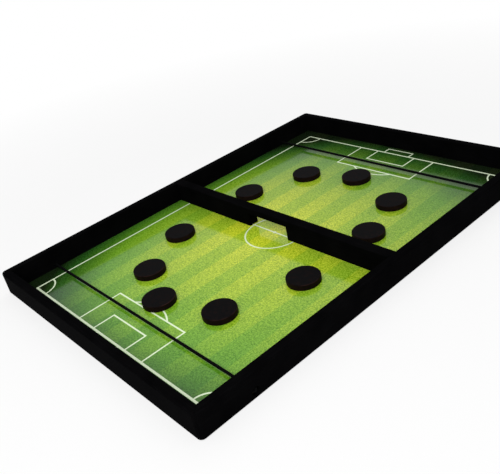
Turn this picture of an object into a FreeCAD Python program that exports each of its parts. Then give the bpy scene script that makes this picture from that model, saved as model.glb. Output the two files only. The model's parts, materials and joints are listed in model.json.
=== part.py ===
import FreeCAD, Part
import math
import os

# Football sling board: a mitred black frame round a printed field, with a divider bar that has one gate,
# an elastic cord strung across each end, and five flat pucks in each court.
# Frame: origin at the middle of the underside, +X to the right, +Y to the far end, +Z up. Millimetres.

# Frame rails
WIDTH = 300.0
LENGTH = 420.0
HEIGHT = 22.5
RAIL_WIDTH = 8.0
CORNER_RADIUS = 4.0
OUTER_EDGE_RADIUS = 2.2
INNER_EDGE_RADIUS = 0.8
FOOT_CHAMFER = 0.5

# Base board, let into a rebate in the rails, and the printed field on top of it
BOARD_THICKNESS = 2.0
REBATE_DEPTH = 4.0
BOARD_GAP = 0.2
SHEET_THICKNESS = 0.3
SHEET_GAP = 0.2
FIELD_Z = BOARD_THICKNESS + SHEET_THICKNESS

# Divider bar, with its gate and the tongues that sit in the side rails
DIVIDER_THICKNESS = 10.5
DIVIDER_EDGE_RADIUS = 1.0
HOUSING_DEPTH = 2.5
TONGUE_THICKNESS = 6.0
GATE_WIDTH = 52.0
GATE_HEIGHT = 14.0
GATE_CORNER_RADIUS = 1.0

# Elastic cords: the height of their line, and the distance of each from the middle of the board
CORD_DIAMETER = 2.5
CORD_Z = 5.5
CORD_Y = {"near": -160.5, "far": 155.5}
CORD_HOLE_DIAMETER = 3.0
COUNTERBORE_DIAMETER = 7.2
COUNTERBORE_DEPTH = 4.6
CORD_PIVOT_INSET = 1.6
CORD_MIDDLE_GAP = 0.3
KNOT_SEAT_RADIUS = 2.3
KNOT_RADIUS = 2.8
KNOT_WAIST_RADIUS = 2.1
KNOT_LENGTH = 3.6
CORD_TAIL_LENGTH = 0.6

# Pucks: flat discs with eased rims, resting on the field, listed from the left in each court
PUCK_DIAMETER = 30.0
PUCK_THICKNESS = 5.5
PUCK_RIM_EASE = 0.8
PUCK_LIFT = 0.05
PUCK_PLACES = {
    "near": [(-76.8, -54.4), (-47.2, -112.4), (0.3, -135.5), (59.2, -116.6), (84.8, -45.5)],
    "far": [(-77.6, 41.2), (-50.7, 102.7), (4.2, 120.7), (68.8, 94.3), (86.0, 38.5)],
}

# Screws from below into the divider's two legs
SCREW_X = (45.0, 115.0)
SCREW_DIAMETER = 3.0
SCREW_HEAD_DIAMETER = 5.6
SCREW_HEAD_HEIGHT = 1.5
SCREW_LENGTH = 14.0
SCREW_SLOT_WIDTH = 0.8
SCREW_SLOT_DEPTH = 0.6
SCREW_TIP_LENGTH = 2.5

# Panel pins through the base board into the rails
PIN_DIAMETER = 1.4
PIN_HEAD_DIAMETER = 2.4
PIN_HEAD_HEIGHT = 0.5
PIN_LENGTH = 13.0
PINS_PER_SIDE = 4
PINS_PER_END = 3
PIN_END_MARGIN = 35.0

HALF_WIDTH = WIDTH / 2
HALF_LENGTH = LENGTH / 2
INNER_HALF_WIDTH = HALF_WIDTH - RAIL_WIDTH
INNER_HALF_LENGTH = HALF_LENGTH - RAIL_WIDTH
PIN_LINE = RAIL_WIDTH - REBATE_DEPTH / 2
SIDES = {"left": -1, "right": 1}
ENDS = {"near": -1, "far": 1}
UP = FreeCAD.Vector(0, 0, 1)


def block(size_x, size_y, bottom, top):
    """A box centred on the origin in plan, from bottom to top."""
    corner = FreeCAD.Vector(-size_x / 2, -size_y / 2, bottom)
    return Part.makeBox(size_x, size_y, top - bottom, corner)


def is_upright(edge):
    """True for a straight edge that runs along Z."""
    low, high = edge.BoundBox.ZMin, edge.BoundBox.ZMax
    return edge.BoundBox.XLength < 1e-6 and edge.BoundBox.YLength < 1e-6 and high > low


def lies_at(edge, z):
    """True for an edge whose every point has the height z."""
    return abs(edge.BoundBox.ZMin - z) < 1e-6 and abs(edge.BoundBox.ZMax - z) < 1e-6


def outer_form():
    """The frame's outside: a block with rounded corners, a round top edge and a small chamfer at the foot."""
    form = block(WIDTH, LENGTH, 0, HEIGHT)
    form = form.makeFillet(CORNER_RADIUS, [edge for edge in form.Edges if is_upright(edge)])
    form = form.makeFillet(OUTER_EDGE_RADIUS, [edge for edge in form.Edges if lies_at(edge, HEIGHT)])
    return form.makeChamfer(FOOT_CHAMFER, [edge for edge in form.Edges if lies_at(edge, 0)])


def frame_ring():
    """The whole frame before it is parted at the mitres, with the rebate for the base board."""
    ring = outer_form().cut(block(2 * INNER_HALF_WIDTH, 2 * INNER_HALF_LENGTH, 0, HEIGHT))
    inner_rim = [
        edge
        for edge in ring.Edges
        if lies_at(edge, HEIGHT)
        and abs(edge.BoundBox.XMin) < INNER_HALF_WIDTH + 1e-6
        and abs(edge.BoundBox.YMin) < INNER_HALF_LENGTH + 1e-6
    ]
    ring = ring.makeFillet(INNER_EDGE_RADIUS, inner_rim)
    rebate_width = 2 * (INNER_HALF_WIDTH + REBATE_DEPTH)
    rebate_length = 2 * (INNER_HALF_LENGTH + REBATE_DEPTH)
    return ring.cut(block(rebate_width, rebate_length, 0, BOARD_THICKNESS))


def mitre_wedge(corner_a, corner_b):
    """The prism that holds one rail: its plan is cut at 45 degrees at both ends."""
    reach = 3 * RAIL_WIDTH
    points = [FreeCAD.Vector(*corner_a, 0), FreeCAD.Vector(*corner_b, 0)]
    for x, y in (corner_b, corner_a):
        points.append(FreeCAD.Vector(x - math.copysign(reach, x), y - math.copysign(reach, y), 0))
    face = Part.Face(Part.makePolygon(points + points[:1]))
    return face.extrude(UP * HEIGHT)


def pin_positions():
    """Plan points of the panel pins, along the middle of the rebate on all four rails."""
    side_span = LENGTH - 2 * PIN_END_MARGIN
    end_span = WIDTH - 2 * PIN_END_MARGIN
    points = []
    for sign in SIDES.values():
        for index in range(PINS_PER_SIDE):
            y = -side_span / 2 + side_span * index / (PINS_PER_SIDE - 1)
            points.append((sign * (HALF_WIDTH - PIN_LINE), y))
    for sign in ENDS.values():
        for index in range(PINS_PER_END):
            x = -end_span / 2 + end_span * index / (PINS_PER_END - 1)
            points.append((x, sign * (HALF_LENGTH - PIN_LINE)))
    return points


def pin_at(x, y):
    """One panel pin, head down and flush with the underside."""
    head = Part.makeCylinder(PIN_HEAD_DIAMETER / 2, PIN_HEAD_HEIGHT, FreeCAD.Vector(x, y, 0))
    shank = Part.makeCylinder(PIN_DIAMETER / 2, PIN_LENGTH, FreeCAD.Vector(x, y, 0))
    return head.fuse(shank).removeSplitter()


def screw_positions():
    """Plan points of the divider's screws, two in each leg."""
    return [(sign * x, 0.0) for sign in SIDES.values() for x in SCREW_X]


def screw_body_at(x, y):
    """One countersunk wood screw without its slot, head down and flush with the underside."""
    shank_end = SCREW_LENGTH - SCREW_TIP_LENGTH
    profile = [
        (0.0, 0.0),
        (SCREW_HEAD_DIAMETER / 2, 0.0),
        (SCREW_DIAMETER / 2, SCREW_HEAD_HEIGHT),
        (SCREW_DIAMETER / 2, shank_end),
        (SCREW_DIAMETER / 8, SCREW_LENGTH),
        (0.0, SCREW_LENGTH),
    ]
    points = [FreeCAD.Vector(radius, 0, z) for radius, z in profile]
    solid = Part.Face(Part.makePolygon(points + points[:1])).revolve(FreeCAD.Vector(), UP, 360)
    return solid.translated(FreeCAD.Vector(x, y, 0))


def screw_at(x, y):
    """One countersunk screw with a slot across its head."""
    slot = block(SCREW_HEAD_DIAMETER, SCREW_SLOT_WIDTH, 0, SCREW_SLOT_DEPTH)
    return screw_body_at(x, y).cut(slot.translated(FreeCAD.Vector(x, y, 0)))


def cut_all(shape, tools):
    """The shape with every tool taken away, in one operation."""
    return shape.cut(list(tools))


def cord_hole(side, end):
    """What the cord's way through a side rail takes out: a hole and its outer counterbore."""
    sign = SIDES[side]
    inward = FreeCAD.Vector(-sign, 0, 0)
    start = FreeCAD.Vector(sign * HALF_WIDTH, CORD_Y[end], CORD_Z)
    hole = Part.makeCylinder(CORD_HOLE_DIAMETER / 2, RAIL_WIDTH, start, inward)
    recess = Part.makeCylinder(COUNTERBORE_DIAMETER / 2, COUNTERBORE_DEPTH, start, inward)
    return hole.fuse(recess)


def housing(side):
    """The upright slot in a side rail that takes the divider's tongue."""
    sign = SIDES[side]
    slot = block(2 * HOUSING_DEPTH, TONGUE_THICKNESS, FIELD_Z, HEIGHT)
    return slot.translated(FreeCAD.Vector(sign * INNER_HALF_WIDTH, 0, 0))


def side_rail(ring, side):
    """A side rail: mitred at both ends, housed for the divider and bored for the cords and pins."""
    x = SIDES[side] * HALF_WIDTH
    rail = ring.common(mitre_wedge((x, -HALF_LENGTH), (x, HALF_LENGTH)))
    tools = [housing(side)]
    tools += [cord_hole(side, end) for end in ENDS]
    tools += [pin_at(px, py) for px, py in pin_positions() if px * x > 0 and abs(px) > INNER_HALF_WIDTH]
    return cut_all(rail, tools)


def end_rail(ring, end):
    """An end rail: mitred at both ends and bored for its pins."""
    y = ENDS[end] * HALF_LENGTH
    rail = ring.common(mitre_wedge((-HALF_WIDTH, y), (HALF_WIDTH, y)))
    tools = [pin_at(px, py) for px, py in pin_positions() if py * y > 0 and abs(py) > INNER_HALF_LENGTH]
    return cut_all(rail, tools)


def base_board():
    """The thin board in the rebate, bored for the pins and screws."""
    size_x = 2 * (INNER_HALF_WIDTH + REBATE_DEPTH - BOARD_GAP)
    size_y = 2 * (INNER_HALF_LENGTH + REBATE_DEPTH - BOARD_GAP)
    board = block(size_x, size_y, 0, BOARD_THICKNESS)
    tools = [pin_at(x, y) for x, y in pin_positions()]
    tools += [screw_body_at(x, y) for x, y in screw_positions()]
    return cut_all(board, tools)


def field_sheet():
    """The printed sheet between the rails, pierced by the divider's screws."""
    size_x = 2 * (INNER_HALF_WIDTH - SHEET_GAP)
    size_y = 2 * (INNER_HALF_LENGTH - SHEET_GAP)
    sheet = block(size_x, size_y, BOARD_THICKNESS, FIELD_Z)
    return cut_all(sheet, [screw_body_at(x, y) for x, y in screw_positions()])


def gate_cutter():
    """The gate's opening: straight sides and slightly rounded upper corners, open at the foot."""
    depth = 2 * DIVIDER_THICKNESS
    opening = block(GATE_WIDTH, depth, FIELD_Z - GATE_HEIGHT, FIELD_Z + GATE_HEIGHT)
    along_y = [
        edge
        for edge in opening.Edges
        if edge.BoundBox.YLength > 1 and edge.BoundBox.ZMin > FIELD_Z
    ]
    return opening.makeFillet(GATE_CORNER_RADIUS, along_y)


def divider():
    """The middle bar: rounded top edges, a gate at its foot and a tongue at each end."""
    bar = block(2 * INNER_HALF_WIDTH, DIVIDER_THICKNESS, FIELD_Z, HEIGHT)
    long_top_edges = [edge for edge in bar.Edges if lies_at(edge, HEIGHT) and edge.BoundBox.XLength > 1]
    bar = bar.makeFillet(DIVIDER_EDGE_RADIUS, long_top_edges)
    tongues = block(2 * (INNER_HALF_WIDTH + HOUSING_DEPTH), TONGUE_THICKNESS, FIELD_Z, HEIGHT)
    bar = bar.fuse(tongues).removeSplitter()
    return cut_all(bar, [gate_cutter()] + [screw_body_at(x, y) for x, y in screw_positions()])


def sling_half(side, end):
    """Half of an elastic, from the eye that it swings on by the rail to just short of the board's middle."""
    sign = SIDES[side]
    radius = CORD_DIAMETER / 2
    pivot = FreeCAD.Vector(sign * (INNER_HALF_WIDTH - CORD_PIVOT_INSET), CORD_Y[end], CORD_Z)
    length = abs(pivot.x) - CORD_MIDDLE_GAP / 2
    run = Part.makeCylinder(radius, length, pivot, FreeCAD.Vector(-sign, 0, 0))
    eye = Part.makeCylinder(radius, CORD_DIAMETER, pivot - UP * radius)
    return run.fuse(eye).removeSplitter()


def knot_profile():
    """Half section of the stretch in the hole and the two-lobed knot, with X as the way out of the rail."""
    shoulder = RAIL_WIDTH - COUNTERBORE_DEPTH
    end = shoulder + KNOT_LENGTH
    cord_radius = CORD_DIAMETER / 2
    outline = [
        (0, 0),
        (0, cord_radius),
        (shoulder, cord_radius),
        (shoulder, KNOT_SEAT_RADIUS),
        (shoulder + KNOT_LENGTH / 4, KNOT_RADIUS),
        (shoulder + KNOT_LENGTH / 2, KNOT_WAIST_RADIUS),
        (end - KNOT_LENGTH / 4, KNOT_RADIUS),
        (end, cord_radius),
        (end + CORD_TAIL_LENGTH, cord_radius),
        (end + CORD_TAIL_LENGTH, 0),
        (0, 0),
    ]
    return Part.Face(Part.makePolygon([FreeCAD.Vector(x, y, 0) for x, y in outline]))


def knot(side, end):
    """The stretch of elastic in the rail's hole, with the knot that holds it in the counterbore."""
    solid = knot_profile().revolve(FreeCAD.Vector(), FreeCAD.Vector(1, 0, 0), 360)
    if SIDES[side] < 0:
        solid = solid.mirror(FreeCAD.Vector(), FreeCAD.Vector(1, 0, 0))
    return solid.translated(FreeCAD.Vector(SIDES[side] * INNER_HALF_WIDTH, CORD_Y[end], CORD_Z))


def puck(x, y):
    """One puck, lying flat on the field."""
    base = FreeCAD.Vector(x, y, FIELD_Z + PUCK_LIFT)
    disc = Part.makeCylinder(PUCK_DIAMETER / 2, PUCK_THICKNESS, base)
    rims = [edge for edge in disc.Edges if edge.BoundBox.ZLength < 1e-6]
    return disc.makeChamfer(PUCK_RIM_EASE, rims)


def all_parts():
    """Every node's name and its shape."""
    ring = frame_ring()
    parts = {"base_board": base_board(), "field_sheet": field_sheet(), "divider": divider()}
    for side in SIDES:
        parts[f"side_rail_{side}"] = side_rail(ring, side)
    for end in ENDS:
        parts[f"end_rail_{end}"] = end_rail(ring, end)
        for side in SIDES:
            parts[f"sling_{end}_{side}"] = sling_half(side, end)
            parts[f"knot_{end}_{side}"] = knot(side, end)
        for number, (x, y) in enumerate(PUCK_PLACES[end], start=1):
            parts[f"puck_{end}_{number}"] = puck(x, y)
    parts["divider_screws"] = Part.makeCompound([screw_at(x, y) for x, y in screw_positions()])
    parts["board_pins"] = Part.makeCompound([pin_at(x, y) for x, y in pin_positions()])
    return parts


os.makedirs("parts", exist_ok=True)
for name, shape in all_parts().items():
    shape.exportStep(f"parts/{name}.step")
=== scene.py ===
import json
import logging
import math
from dataclasses import dataclass
from enum import Enum
from typing import Any, Mapping, Optional, Sequence, Union

import bmesh
import bpy
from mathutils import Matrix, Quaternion, Vector


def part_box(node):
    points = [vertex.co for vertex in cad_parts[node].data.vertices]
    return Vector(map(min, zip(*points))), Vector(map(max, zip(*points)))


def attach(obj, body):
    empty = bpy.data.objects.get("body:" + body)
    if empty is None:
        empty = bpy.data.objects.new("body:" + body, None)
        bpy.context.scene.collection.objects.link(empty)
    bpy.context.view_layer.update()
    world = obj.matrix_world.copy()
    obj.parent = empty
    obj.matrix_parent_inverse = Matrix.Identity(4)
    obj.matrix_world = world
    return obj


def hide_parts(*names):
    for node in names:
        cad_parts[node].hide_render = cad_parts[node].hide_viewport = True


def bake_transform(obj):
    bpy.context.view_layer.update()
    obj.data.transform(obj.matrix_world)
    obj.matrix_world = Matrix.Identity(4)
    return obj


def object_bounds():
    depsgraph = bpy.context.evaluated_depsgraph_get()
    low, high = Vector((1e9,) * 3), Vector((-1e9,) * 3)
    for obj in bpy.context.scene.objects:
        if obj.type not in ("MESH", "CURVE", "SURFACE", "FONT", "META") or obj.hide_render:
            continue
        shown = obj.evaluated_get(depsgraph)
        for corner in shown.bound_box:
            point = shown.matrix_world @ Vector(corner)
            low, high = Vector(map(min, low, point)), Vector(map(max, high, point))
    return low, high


# The looks of a football sling board: black mitred frame, divider with one gate, glossy printed pitch,
# an elastic across each end and ten loose pucks. Metres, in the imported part's own frame.

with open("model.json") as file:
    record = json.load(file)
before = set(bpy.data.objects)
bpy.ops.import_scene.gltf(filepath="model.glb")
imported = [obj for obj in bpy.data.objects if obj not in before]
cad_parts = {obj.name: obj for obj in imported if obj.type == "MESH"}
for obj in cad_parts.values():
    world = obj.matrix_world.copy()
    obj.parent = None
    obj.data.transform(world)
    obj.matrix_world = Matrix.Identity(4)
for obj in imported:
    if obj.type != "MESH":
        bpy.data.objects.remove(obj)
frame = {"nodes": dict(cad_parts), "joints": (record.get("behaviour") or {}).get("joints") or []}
CAD_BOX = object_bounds()

MM = 0.001
MERGE_DISTANCE = 0.002 * MM
STRAND_SLOPE = 0.7
STRAND_REACH = 0.9 * MM
BOARD = "board"
Number = Union[float, "Signal"]
Colour = tuple[float, float, float]
log = logging.getLogger("sling_board")


class Side(Enum):
    """A long side of the board, by the sign of its X."""

    LEFT = -1
    RIGHT = 1


class End(Enum):
    """An end of the board, by the sign of its Y."""

    NEAR = -1
    FAR = 1


class Grain(Enum):
    """Which way the grain of a rail runs, by how dense it is along X, Y and Z."""

    LENGTHWAYS = (1.0, 0.035, 1.0)
    CROSSWAYS = (0.035, 1.0, 1.0)


# ---------------------------------------------------------------- node trees


class Signal:
    """A number that varies over a surface or along a mesh. Arithmetic on it adds Math nodes."""

    def __init__(self, bench: "NodeBench", socket: bpy.types.NodeSocket) -> None:
        """Wraps one output socket of the tree that a bench builds."""
        self.bench = bench
        self.socket = socket

    def __add__(self, other: Number) -> "Signal":
        """Sum."""
        return self.bench.maths("ADD", self, other)

    __radd__ = __add__

    def __sub__(self, other: Number) -> "Signal":
        """Difference."""
        return self.bench.maths("SUBTRACT", self, other)

    def __rsub__(self, other: Number) -> "Signal":
        """Difference from a number, as in 1 - mask."""
        return self.bench.maths("SUBTRACT", other, self)

    def __mul__(self, other: Number) -> "Signal":
        """Product."""
        return self.bench.maths("MULTIPLY", self, other)

    __rmul__ = __mul__

    def __truediv__(self, other: Number) -> "Signal":
        """Quotient."""
        return self.bench.maths("DIVIDE", self, other)

    def __rtruediv__(self, other: Number) -> "Signal":
        """A number over this."""
        return self.bench.maths("DIVIDE", other, self)

    def __pow__(self, power: float) -> "Signal":
        """Power."""
        return self.bench.maths("POWER", self, power)

    def __neg__(self) -> "Signal":
        """Its negative."""
        return self.bench.maths("MULTIPLY", self, -1.0)

    def __abs__(self) -> "Signal":
        """Absolute value."""
        return self.bench.maths("ABSOLUTE", self)

    def clamped(self) -> "Signal":
        """This, kept between 0 and 1."""
        return self.bench.maths("ADD", self, 0.0, clamp=True)

    def sine(self) -> "Signal":
        """Sine of this angle in radians."""
        return self.bench.maths("SINE", self)

    def cosine(self) -> "Signal":
        """Cosine of this angle in radians."""
        return self.bench.maths("COSINE", self)

    def root(self) -> "Signal":
        """Square root, of 0 where this is negative."""
        return self.bench.maths("SQRT", self.at_least(0.0))

    def diagonal(self, other: "Signal") -> "Signal":
        """Length of the diagonal of a rectangle with this and the other as its sides."""
        return (self**2.0 + other**2.0).root()

    def at_least(self, other: Number) -> "Signal":
        """The larger of the two."""
        return self.bench.maths("MAXIMUM", self, other)

    def at_most(self, other: Number) -> "Signal":
        """The smaller of the two."""
        return self.bench.maths("MINIMUM", self, other)


class NodeBench:
    """A node tree under construction, for a material or for geometry."""

    def __init__(self, tree: bpy.types.NodeTree) -> None:
        """Starts on a tree, which nodes are added to."""
        self.tree = tree

    def node(
        self,
        kind: str,
        settings: Optional[Mapping[str, Any]] = None,
        values: Optional[Mapping[Union[str, int], Any]] = None,
    ) -> bpy.types.Node:
        """Adds one node, with its settings set before its sockets.

        Args:
            kind: the node's type name.
            settings: the node's own properties; "stops" holds a colour ramp's (position, colour) pairs.
            values: by socket name or number, a plain value, a socket or a Signal.

        Returns:
            The new node.
        """
        made = self.tree.nodes.new(kind)
        for name, value in (settings or {}).items():
            if name == "stops":
                self._set_stops(made.color_ramp, value)
            else:
                setattr(made, name, value)
        for key, value in (values or {}).items():
            self._feed(made.inputs[key], value)
        return made

    def _set_stops(self, ramp: bpy.types.ColorRamp, stops: Sequence[tuple[float, Colour]]) -> None:
        """Gives a ramp its stops.

        Args:
            ramp: the ramp of a new node, which has two stops.
            stops: the position and colour of each stop, in order.
        """
        while len(ramp.elements) < len(stops):
            ramp.elements.new(1.0)
        for element, (position, colour) in zip(ramp.elements, stops):
            element.position = position
            element.color = (*colour, 1.0)

    def _feed(self, socket: bpy.types.NodeSocket, value: Any) -> None:
        """Links a socket or sets its value.

        Args:
            socket: the input socket.
            value: a Signal, an output socket, several output sockets for a joining socket, or a plain value.
        """
        if isinstance(value, Signal):
            self.tree.links.new(value.socket, socket)
        elif isinstance(value, bpy.types.NodeSocket):
            self.tree.links.new(value, socket)
        elif isinstance(value, list):
            for part in value:
                self.tree.links.new(part, socket)
        elif socket.type == "RGBA" and len(value) == 3:
            socket.default_value = (*value, 1.0)
        else:
            socket.default_value = value

    def maths(self, operation: str, *terms: Number, clamp: bool = False) -> Signal:
        """Adds a Math node.

        Args:
            operation: the node's operation.
            terms: its one or two inputs.
            clamp: True to keep the result between 0 and 1.

        Returns:
            The result.
        """
        settings = {"operation": operation, "use_clamp": clamp}
        made = self.node("ShaderNodeMath", settings, dict(enumerate(terms)))
        return Signal(self, made.outputs[0])

    def split(self, vector: bpy.types.NodeSocket) -> tuple[Signal, Signal, Signal]:
        """The three parts of a vector."""
        parts = self.node("ShaderNodeSeparateXYZ", values={0: vector}).outputs
        return Signal(self, parts[0]), Signal(self, parts[1]), Signal(self, parts[2])

    def joined(self, x: Number, y: Number, z: Number) -> bpy.types.NodeSocket:
        """A vector from its three parts."""
        return self.node("ShaderNodeCombineXYZ", values={0: x, 1: y, 2: z}).outputs[0]


class Dressing(NodeBench):
    """A material under construction: one Principled shader and what feeds it."""

    FED = ("Base Color", "Roughness", "Metallic", "Coat Weight", "Normal")

    def __init__(self, name: str, **constants: Any) -> None:
        """Starts a material.

        Args:
            name: the material's name.
            constants: shader sockets that are the same all over, with _ for each space of their names.
        """
        self.material = bpy.data.materials.new(name)
        self.material.use_nodes = True
        super().__init__(self.material.node_tree)
        self.tree.nodes.clear()
        self.shader = self.node("ShaderNodeBsdfPrincipled")
        self.output = self.node("ShaderNodeOutputMaterial", values={"Surface": self.shader.outputs[0]})
        for key, value in constants.items():
            self._feed(self.shader.inputs[key.replace("_", " ")], value)

    def place(self) -> bpy.types.NodeSocket:
        """The point on the surface, in the board's own frame."""
        return self.node("ShaderNodeTexCoord").outputs["Object"]

    def carried(self, attribute: str) -> Signal:
        """A number that the mesh carries at each of its points."""
        made = self.node("ShaderNodeAttribute", {"attribute_name": attribute})
        return Signal(self, made.outputs["Fac"])

    def noise(
        self,
        scale: float,
        stretch: Sequence[float] = (1.0, 1.0, 1.0),
        detail: float = 2.0,
        rough: float = 0.5,
    ) -> Signal:
        """Smooth noise from 0 to 1, in the board's own frame.

        Args:
            scale: features per metre.
            stretch: how much denser it is along X, Y and Z.
            detail: the number of finer layers.
            rough: how strong the finer layers are.

        Returns:
            The noise.
        """
        scaled = self.node("ShaderNodeMapping", values={"Vector": self.place(), "Scale": tuple(stretch)})
        values = {"Vector": scaled.outputs[0], "Scale": scale, "Detail": detail, "Roughness": rough}
        made = self.node("ShaderNodeTexNoise", {"noise_dimensions": "3D"}, values)
        return Signal(self, made.outputs[0])

    def mixed(self, factor: Number, first: Any, second: Any, blend: str = "MIX") -> bpy.types.NodeSocket:
        """Mixes two colours.

        Args:
            factor: 0 for the first colour, 1 for the second.
            first: a colour or a colour socket.
            second: a colour or a colour socket.
            blend: how the second goes on the first.

        Returns:
            The colour.
        """
        settings = {"data_type": "RGBA", "blend_type": blend}
        return self.node("ShaderNodeMix", settings, {0: factor, 6: first, 7: second}).outputs[2]

    def tinted(self, first: Any, second: Any) -> bpy.types.NodeSocket:
        """The product of two colours."""
        return self.mixed(1.0, first, second, "MULTIPLY")

    def ramp(self, factor: Number, stops: Sequence[tuple[float, Colour]]) -> bpy.types.NodeSocket:
        """A colour that goes through stops as the factor goes from 0 to 1."""
        return self.node("ShaderNodeValToRGB", {"stops": stops}, {0: factor}).outputs[0]

    def relief(self, height: Number, depth: float, under: Optional[Any] = None) -> bpy.types.NodeSocket:
        """A bump of the surface.

        Args:
            height: from 0 to 1.
            depth: how far 1 stands above 0, in metres.
            under: the normal that it is laid on, or None.

        Returns:
            The normal.
        """
        values = {"Height": height, "Distance": depth, "Strength": 1.0}
        if under is not None:
            values["Normal"] = under
        return self.node("ShaderNodeBump", values=values).outputs[0]

    def dress(self, **fed: Any) -> bpy.types.Material:
        """Feeds the shader and ends the material.

        Args:
            fed: what varies over the surface, by socket name, with _ for each space.

        Returns:
            The material.
        """
        for key, value in fed.items():
            name = key.replace("_", " ")
            if name not in self.FED:
                raise ValueError(f"{name} doesn't vary over a surface")
            self._feed(self.shader.inputs[name], value)
        return self.material


class Jig(NodeBench):
    """A geometry tree under construction, with named inputs, that makes plain mesh pieces."""

    def __init__(self, name: str, sizes: Mapping[str, Union[int, float]]) -> None:
        """Starts a tree.

        Args:
            name: the tree's name.
            sizes: the named inputs and their default values; an int makes a whole-number input.
        """
        super().__init__(bpy.data.node_groups.new(name, "GeometryNodeTree"))
        self.identifiers: dict[str, str] = {}
        for label, default in sizes.items():
            kind = "NodeSocketInt" if isinstance(default, int) else "NodeSocketFloat"
            made = self.tree.interface.new_socket(name=label, in_out="INPUT", socket_type=kind)
            made.default_value = default
            self.identifiers[label] = made.identifier
        self.tree.interface.new_socket(name="Geometry", in_out="OUTPUT", socket_type="NodeSocketGeometry")
        self.group_input = self.node("NodeGroupInput")

    def size(self, label: str) -> Signal:
        """One of the named inputs."""
        return Signal(self, self.group_input.outputs[label])

    def here(self) -> tuple[Signal, Signal, Signal]:
        """The position of each point, as its three parts."""
        return self.split(self.node("GeometryNodeInputPosition").outputs[0])

    def store(self, geometry: bpy.types.NodeSocket, name: str, value: Signal) -> bpy.types.NodeSocket:
        """Writes a number on each point of a mesh, for its material to read.

        Args:
            geometry: the mesh.
            name: the attribute's name.
            value: the number.

        Returns:
            The mesh with its attribute.
        """
        settings = {"data_type": "FLOAT", "domain": "POINT"}
        values = {"Geometry": geometry, "Name": name, "Value": value}
        return self.node("GeometryNodeStoreNamedAttribute", settings, values).outputs[0]

    def grid(self, columns: int, rows: int) -> tuple[bpy.types.NodeSocket, Signal, Signal]:
        """A flat grid.

        Args:
            columns: the number of points along it.
            rows: the number of points up it.

        Returns:
            The grid, and how far along and how far up it each point is, from 0 to 1.
        """
        values = {"Size X": 1.0, "Size Y": 1.0, "Vertices X": columns, "Vertices Y": rows}
        made = self.node("GeometryNodeMeshGrid", values=values).outputs[0]
        u, v, _ = self.here()
        return made, u + 0.5, v + 0.5

    def moved(self, geometry: bpy.types.NodeSocket, place: bpy.types.NodeSocket) -> bpy.types.NodeSocket:
        """Puts each point of a mesh at a place."""
        return self.node("GeometryNodeSetPosition", values={0: geometry, "Position": place}).outputs[0]

    def turned(
        self,
        stations: Sequence[tuple[Number, Number]],
        steps_round: int,
        reach_name: Optional[str] = None,
    ) -> bpy.types.NodeSocket:
        """Turns a profile about Z into a closed shape.

        Args:
            stations: the reach and height of each corner of the profile, from the axis round to the axis.
            steps_round: the number of faces round the axis.
            reach_name: the attribute that keeps each point's reach, or None.

        Returns:
            The mesh.
        """
        made, round_share, up_share = self.grid(steps_round + 1, len(stations))
        angle = round_share * (2 * math.pi)
        reach: Number = stations[0][0]
        height: Number = stations[0][1]
        for index, (first, second) in enumerate(zip(stations, stations[1:])):
            share = (up_share * (len(stations) - 1) - index).clamped()
            reach = share * (second[0] - first[0]) + reach
            height = share * (second[1] - first[1]) + height
        if reach_name:
            made = self.store(made, reach_name, reach)
        return self.moved(made, self.joined(reach * angle.cosine(), reach * angle.sine(), height))

    def end(self, geometry: bpy.types.NodeSocket, material: bpy.types.Material) -> None:
        """Ends the tree: real meshes only, with their material.

        Args:
            geometry: what the tree makes.
            material: the material of all of it.
        """
        real = self.node("GeometryNodeRealizeInstances", values={"Geometry": geometry}).outputs[0]
        values = {"Geometry": real, "Material": material}
        dressed = self.node("GeometryNodeSetMaterial", values=values).outputs[0]
        self.node("NodeGroupOutput", values={"Geometry": dressed})

    def make(self, name: str, sizes: Mapping[str, Union[int, float]]) -> bpy.types.Object:
        """Runs the tree once and keeps the result as a plain mesh.

        Args:
            name: the piece's name.
            sizes: values of the named inputs, where they differ from the defaults.

        Returns:
            The piece, at the origin, with no modifier.
        """
        host = bpy.data.objects.new(f"{name}_host", bpy.data.meshes.new(f"{name}_host"))
        bpy.context.scene.collection.objects.link(host)
        modifier = host.modifiers.new("jig", "NODES")
        modifier.node_group = self.tree
        for label, value in sizes.items():
            modifier[self.identifiers[label]] = value
        depsgraph = bpy.context.evaluated_depsgraph_get()
        mesh = bpy.data.meshes.new_from_object(host.evaluated_get(depsgraph), depsgraph=depsgraph)
        bpy.data.objects.remove(host)
        turn_faces_out(mesh)
        mesh.name = name
        return on_stage(bpy.data.objects.new(name, mesh))


# ---------------------------------------------------------------- mesh helpers


def on_stage(piece: bpy.types.Object) -> bpy.types.Object:
    """Links a new object to the scene."""
    bpy.context.scene.collection.objects.link(piece)
    return piece


def turn_faces_out(mesh: bpy.types.Mesh) -> None:
    """Merges a mesh's doubles and turns all its faces outwards.

    Args:
        mesh: the mesh, which is changed.
    """
    work = bmesh.new()
    work.from_mesh(mesh)
    bmesh.ops.remove_doubles(work, verts=work.verts, dist=MERGE_DISTANCE)
    bmesh.ops.recalc_face_normals(work, faces=work.faces)
    work.to_mesh(mesh)
    work.free()


def shade_by_angle(piece: bpy.types.Object, degrees: float) -> None:
    """Smooth shading, with a crease wherever faces meet at more than an angle.

    Args:
        piece: a mesh object.
        degrees: the angle.
    """
    piece.data.shade_smooth()
    piece.data.set_sharp_from_angle(angle=math.radians(degrees))
    weighted = piece.modifiers.new("weighted_normals", "WEIGHTED_NORMAL")
    weighted.keep_sharp = True


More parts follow.
